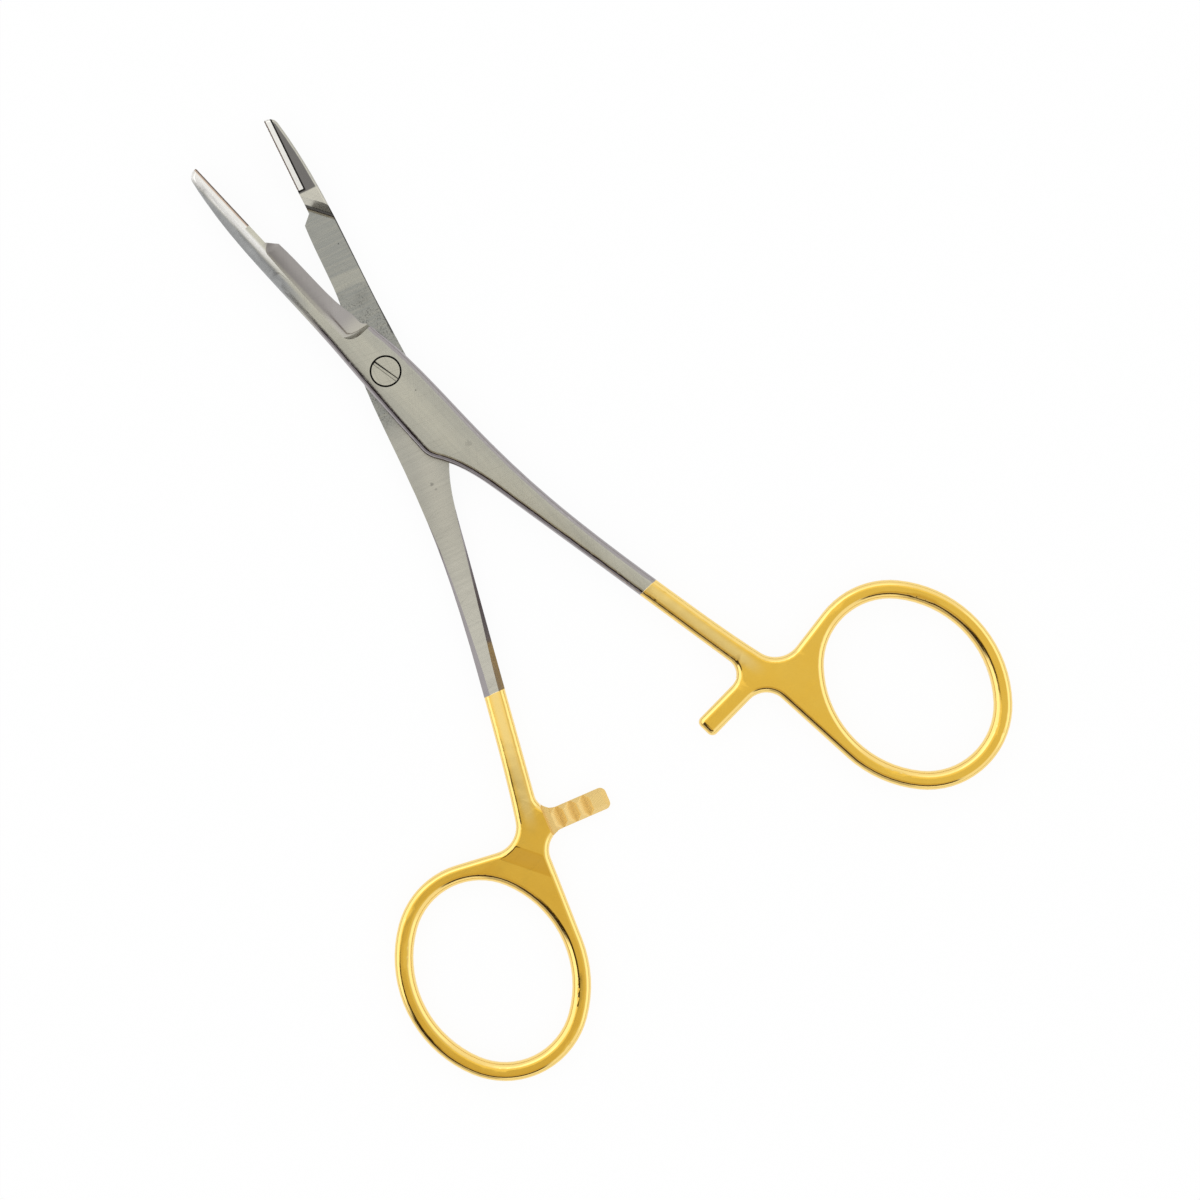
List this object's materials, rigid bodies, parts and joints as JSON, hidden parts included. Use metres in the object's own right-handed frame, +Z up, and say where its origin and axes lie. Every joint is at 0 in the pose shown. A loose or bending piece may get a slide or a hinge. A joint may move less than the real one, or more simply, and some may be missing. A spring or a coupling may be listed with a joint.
{
  "type": "surgical needle holder",
  "caption": "Ring-handled surgical needle holder with hatched gripping inserts, scissor blades behind its jaws, a flush pivot screw and a toothed ratchet across the handles.",
  "frame": {"origin": "on the pivot axis, at the underside of the joint, on the flush end of the screw", "axes": "+Y from the pivot towards the jaws, halfway between the open arms; +Z up along the pivot axis towards the screw's slotted head; +X towards the upper arm's finger ring"},
  "size_m": [0.0996, 0.1347, 0.0048],
  "materials": {
    "forged_arm": "satin stainless steel at the front; the handles are polished and gold plated from 48 mm behind the pivot",
    "screw_steel": "turned and ground flush",
    "hard_metal": "sintered hard metal, ground, with a cross-hatched gripping face"
  },
  "bodies": {
    "lower_half": {"lower_arm": "forged_arm", "pivot_screw": "screw_steel", "lower_jaw_insert": "hard_metal"},
    "upper_half": {"upper_arm": "forged_arm", "upper_jaw_insert": "hard_metal"}
  },
  "joints": [
    {"name": "arm_pivot", "type": "hinge", "parent": "lower_half", "child": "upper_half", "pos_m": [0, 0, 0], "axis": [0, 0, 1], "range_deg": [-17, 73]}
  ]
}
